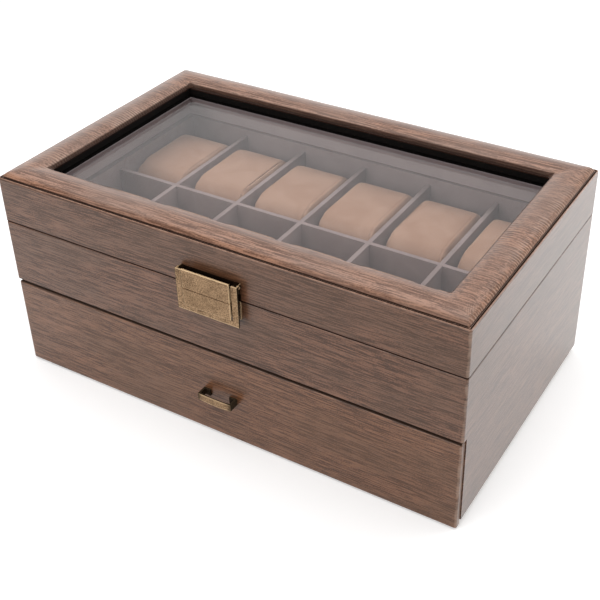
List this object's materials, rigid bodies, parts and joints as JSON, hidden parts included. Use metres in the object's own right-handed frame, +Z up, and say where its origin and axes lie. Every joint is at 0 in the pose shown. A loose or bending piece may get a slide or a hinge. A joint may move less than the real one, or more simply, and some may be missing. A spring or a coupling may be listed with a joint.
{
  "type": "watch box with drawer",
  "caption": "Wood-grain leather watch box: glazed padded lid on rear hinges, front latch, tray of slots with suede watch pillows, lined drawer below with a strap pull.",
  "frame": {"origin": "centre of the ground plan of the whole box, latch, pull and hinges included, at the ground", "axes": "+X to the right along the front, +Y from the front to the back, +Z up"},
  "size_m": [0.33, 0.2096, 0.149],
  "materials": {
    "board": "raw fibreboard",
    "walnut_leather": "satin wood-grain print",
    "pad_leather": "satin wood-grain print",
    "grey_velvet": "short pile",
    "tan_suede": "brushed suede",
    "window_glass": "polished",
    "black_trim": "matt",
    "foot_rubber": "matt",
    "antique_brass": "antiqued, speckled",
    "hinge_brass": "satin",
    "screw_steel": "satin"
  },
  "bodies": {
    "case": {"case_left_side": "board", "case_right_side": "board", "case_back": "board", "case_front_panel": "board", "case_shelf": "board", "case_bottom": "board", "case_wrap": "walnut_leather", "feet": "foot_rubber", "tray_floor_liner": "grey_velvet", "tray_left_liner": "grey_velvet", "tray_right_liner": "grey_velvet", "tray_front_liner": "grey_velvet", "tray_back_liner": "grey_velvet", "long_divider": "grey_velvet", "cross_dividers": "grey_velvet", "left_hinge_case_leaf": "hinge_brass", "right_hinge_case_leaf": "hinge_brass", "hinge_pins": "hinge_brass", "hinge_case_screws": "screw_steel", "latch_case_plate": "antique_brass", "latch_case_nails": "antique_brass"},
    "lid": {"lid_left_side": "board", "lid_right_side": "board", "lid_front_rail": "board", "lid_back_rail": "board", "lid_top_board": "board", "lid_wrap": "walnut_leather", "top_frame_pad": "pad_leather", "glass_pane": "window_glass", "glass_seal": "black_trim", "glass_retainer": "board", "lid_liner": "grey_velvet", "left_hinge_lid_leaf": "hinge_brass", "right_hinge_lid_leaf": "hinge_brass", "hinge_lid_screws": "screw_steel", "latch_lid_plate": "antique_brass", "latch_cover": "antique_brass", "latch_pins": "antique_brass"},
    "latch_bail": {"latch_bail": "antique_brass"},
    "drawer": {"drawer_front": "board", "drawer_front_wrap": "walnut_leather", "drawer_left_side": "board", "drawer_right_side": "board", "drawer_back": "board", "drawer_bottom": "board", "drawer_lining": "grey_velvet", "drawer_pull": "antique_brass", "pull_screws": "screw_steel"},
    "pillow_back_1": {"pillow_back_1": "tan_suede"},
    "pillow_front_1": {"pillow_front_1": "tan_suede"},
    "pillow_back_2": {"pillow_back_2": "tan_suede"},
    "pillow_front_2": {"pillow_front_2": "tan_suede"},
    "pillow_back_3": {"pillow_back_3": "tan_suede"},
    "pillow_front_3": {"pillow_front_3": "tan_suede"},
    "pillow_back_4": {"pillow_back_4": "tan_suede"},
    "pillow_front_4": {"pillow_front_4": "tan_suede"},
    "pillow_back_5": {"pillow_back_5": "tan_suede"},
    "pillow_front_5": {"pillow_front_5": "tan_suede"},
    "pillow_back_6": {"pillow_back_6": "tan_suede"},
    "pillow_front_6": {"pillow_front_6": "tan_suede"}
  },
  "joints": [
    {"name": "lid_open", "type": "hinge", "parent": "case", "child": "lid", "pos_m": [0, 0.10265, 0.11325], "axis": [-1, 0, 0], "range_deg": [0, 100]},
    {"name": "latch_swing", "type": "hinge", "parent": "lid", "child": "latch_bail", "pos_m": [0, -0.09945, 0.1243], "axis": [-1, 0, 0], "range_deg": [0, 75]},
    {"name": "drawer_slide", "type": "slide", "parent": "case", "child": "drawer", "axis": [0, -1, 0], "range_m": [0, 0.15]},
    {"name": "pillow_back_1_lift", "type": "slide", "parent": "case", "child": "pillow_back_1", "axis": [0, 0, 1], "range_m": [0, 0.02]},
    {"name": "pillow_front_1_lift", "type": "slide", "parent": "case", "child": "pillow_front_1", "axis": [0, 0, 1], "range_m": [0, 0.02]},
    {"name": "pillow_back_2_lift", "type": "slide", "parent": "case", "child": "pillow_back_2", "axis": [0, 0, 1], "range_m": [0, 0.02]},
    {"name": "pillow_front_2_lift", "type": "slide", "parent": "case", "child": "pillow_front_2", "axis": [0, 0, 1], "range_m": [0, 0.02]},
    {"name": "pillow_back_3_lift", "type": "slide", "parent": "case", "child": "pillow_back_3", "axis": [0, 0, 1], "range_m": [0, 0.02]},
    {"name": "pillow_front_3_lift", "type": "slide", "parent": "case", "child": "pillow_front_3", "axis": [0, 0, 1], "range_m": [0, 0.02]},
    {"name": "pillow_back_4_lift", "type": "slide", "parent": "case", "child": "pillow_back_4", "axis": [0, 0, 1], "range_m": [0, 0.02]},
    {"name": "pillow_front_4_lift", "type": "slide", "parent": "case", "child": "pillow_front_4", "axis": [0, 0, 1], "range_m": [0, 0.02]},
    {"name": "pillow_back_5_lift", "type": "slide", "parent": "case", "child": "pillow_back_5", "axis": [0, 0, 1], "range_m": [0, 0.02]},
    {"name": "pillow_front_5_lift", "type": "slide", "parent": "case", "child": "pillow_front_5", "axis": [0, 0, 1], "range_m": [0, 0.02]},
    {"name": "pillow_back_6_lift", "type": "slide", "parent": "case", "child": "pillow_back_6", "axis": [0, 0, 1], "range_m": [0, 0.02]},
    {"name": "pillow_front_6_lift", "type": "slide", "parent": "case", "child": "pillow_front_6", "axis": [0, 0, 1], "range_m": [0, 0.02]}
  ]
}
